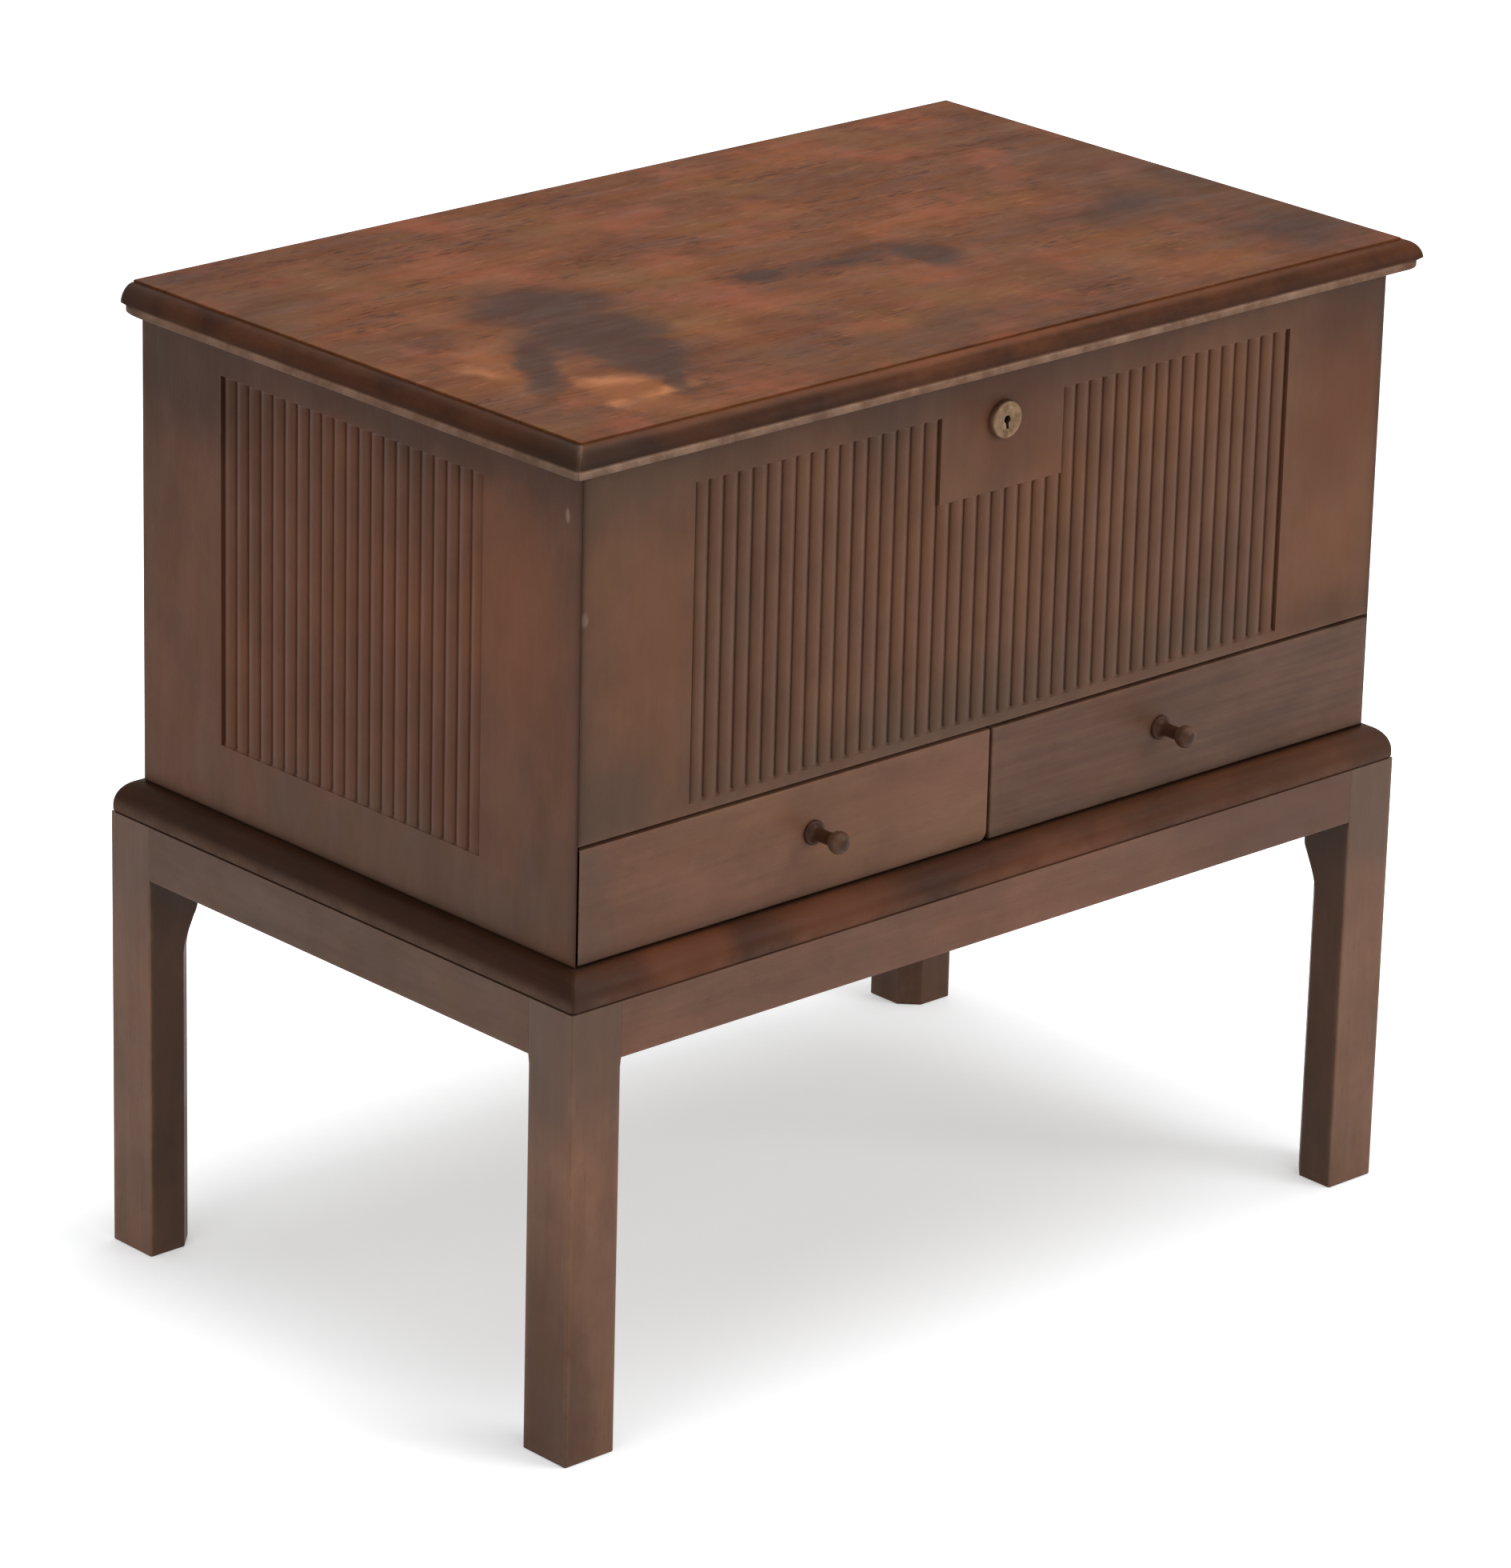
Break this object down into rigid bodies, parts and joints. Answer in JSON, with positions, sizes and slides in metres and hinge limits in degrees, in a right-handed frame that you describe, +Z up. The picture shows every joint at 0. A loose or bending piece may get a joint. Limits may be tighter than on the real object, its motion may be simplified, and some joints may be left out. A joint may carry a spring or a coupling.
{
  "type": "chest on stand",
  "caption": "Small wooden chest with a rear-hinged moulded lid, reeded front and ends and drawers below, on a moulded stand with square legs.",
  "frame": {"origin": "on the floor, under the middle of the bounding box", "axes": "+X to the right as seen from the front, +Y from the front to the back, +Z up"},
  "size_m": [0.768, 0.49, 0.692],
  "materials": {
    "polished_wood": "satin polish",
    "lid_wood": "satin polish",
    "dark_wood": "satin polish",
    "lining_wood": "planed and waxed",
    "brass": "dull, aged",
    "steel": "filed"
  },
  "bodies": {
    "chest_and_stand": {"leg_front_left": "polished_wood", "leg_front_right": "polished_wood", "leg_back_left": "polished_wood", "leg_back_right": "polished_wood", "apron_front": "polished_wood", "apron_back": "polished_wood", "apron_left": "polished_wood", "apron_right": "polished_wood", "stand_rail_front": "polished_wood", "stand_rail_back": "polished_wood", "stand_rail_left": "polished_wood", "stand_rail_right": "polished_wood", "end_left": "polished_wood", "end_right": "polished_wood", "front_board": "polished_wood", "back_board": "polished_wood", "chest_floor": "lining_wood", "base_board": "lining_wood", "drawer_partition": "lining_wood", "batten_left": "lining_wood", "batten_right": "lining_wood", "hinge_left_back_leaf": "brass", "hinge_left_pin": "brass", "hinge_right_back_leaf": "brass", "hinge_right_pin": "brass", "lock_case": "brass", "escutcheon": "brass"},
    "lid": {"lid_panel": "lid_wood", "lid_moulding_front": "dark_wood", "lid_moulding_left": "dark_wood", "lid_moulding_right": "dark_wood", "hinge_left_lid_leaf": "brass", "hinge_right_lid_leaf": "brass", "lock_link_plate": "brass"},
    "drawer_left": {"drawer_left_front": "polished_wood", "drawer_left_inner_side": "lining_wood", "drawer_left_outer_side": "lining_wood", "drawer_left_back": "lining_wood", "drawer_left_bottom": "lining_wood", "drawer_left_knob": "dark_wood"},
    "drawer_right": {"drawer_right_front": "polished_wood", "drawer_right_inner_side": "lining_wood", "drawer_right_outer_side": "lining_wood", "drawer_right_back": "lining_wood", "drawer_right_bottom": "lining_wood", "drawer_right_knob": "dark_wood"},
    "lock_bolt": {"lock_bolt": "steel"}
  },
  "joints": [
    {"name": "lid_hinge", "type": "hinge", "parent": "chest_and_stand", "child": "lid", "pos_m": [0, 0.2328, 0.67265], "axis": [-1, 0, 0], "range_deg": [0, 95]},
    {"name": "drawer_left_slide", "type": "slide", "parent": "chest_and_stand", "child": "drawer_left", "axis": [0, -1, 0], "range_m": [0, 0.3]},
    {"name": "drawer_right_slide", "type": "slide", "parent": "chest_and_stand", "child": "drawer_right", "axis": [0, -1, 0], "range_m": [0, 0.3]},
    {"name": "lock_bolt_slide", "type": "slide", "parent": "chest_and_stand", "child": "lock_bolt", "axis": [1, 0, 0], "range_m": [0, 0.012]}
  ]
}
